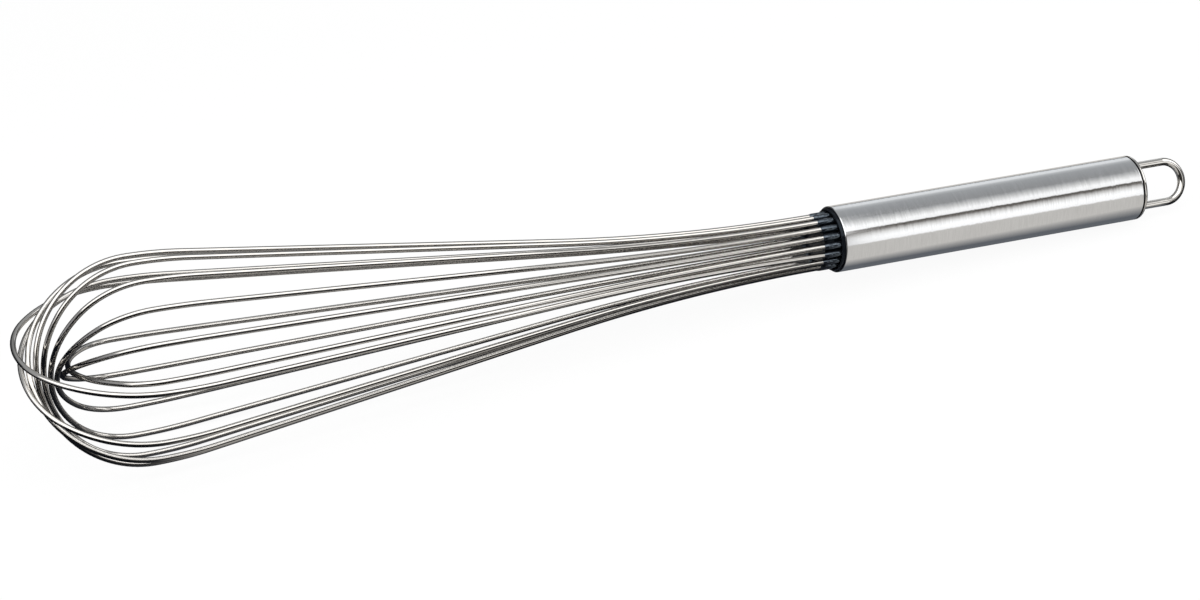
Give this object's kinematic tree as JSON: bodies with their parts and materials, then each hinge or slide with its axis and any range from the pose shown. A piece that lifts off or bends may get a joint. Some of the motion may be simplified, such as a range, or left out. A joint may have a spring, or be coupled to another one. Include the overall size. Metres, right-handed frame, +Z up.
{
  "type": "piano whisk",
  "caption": "Balloon whisk of nested springy steel wire loops in a sealed tube handle, with a wire hanging loop at the end",
  "frame": {"origin": "On the surface the whisk lies on, under the middle of its box", "axes": "+X along the whisk from the balloon to the hanging loop, +Z up, the whisk at rest on the two low wires of its balloon and the edge of its end cap"},
  "size_m": [0.4626, 0.074, 0.0731],
  "materials": {
    "satin_steel": "satin, brushed round the tube",
    "spring_wire": "bright polished spring wire",
    "polished_steel": "polished",
    "plain_steel": "plain, unfinished",
    "black_potting": "glossy black",
    "seam_sealant": "dark, dull"
  },
  "bodies": {
    "root": {"handle_tube": "satin_steel", "neck_potting": "black_potting", "wire_core": "black_potting", "wire_sleeves": "black_potting", "spacer_plate": "plain_steel", "whisk_wire_1": "spring_wire", "whisk_wire_2": "spring_wire", "whisk_wire_3": "spring_wire", "whisk_wire_4": "spring_wire", "whisk_wire_5": "spring_wire", "whisk_wire_6": "spring_wire", "whisk_wire_7": "spring_wire", "whisk_wire_8": "spring_wire", "whisk_wire_9": "spring_wire", "end_cap": "polished_steel", "cap_seam": "seam_sealant", "hanging_loop": "polished_steel", "loop_anchor": "plain_steel"}
  },
  "joints": []
}
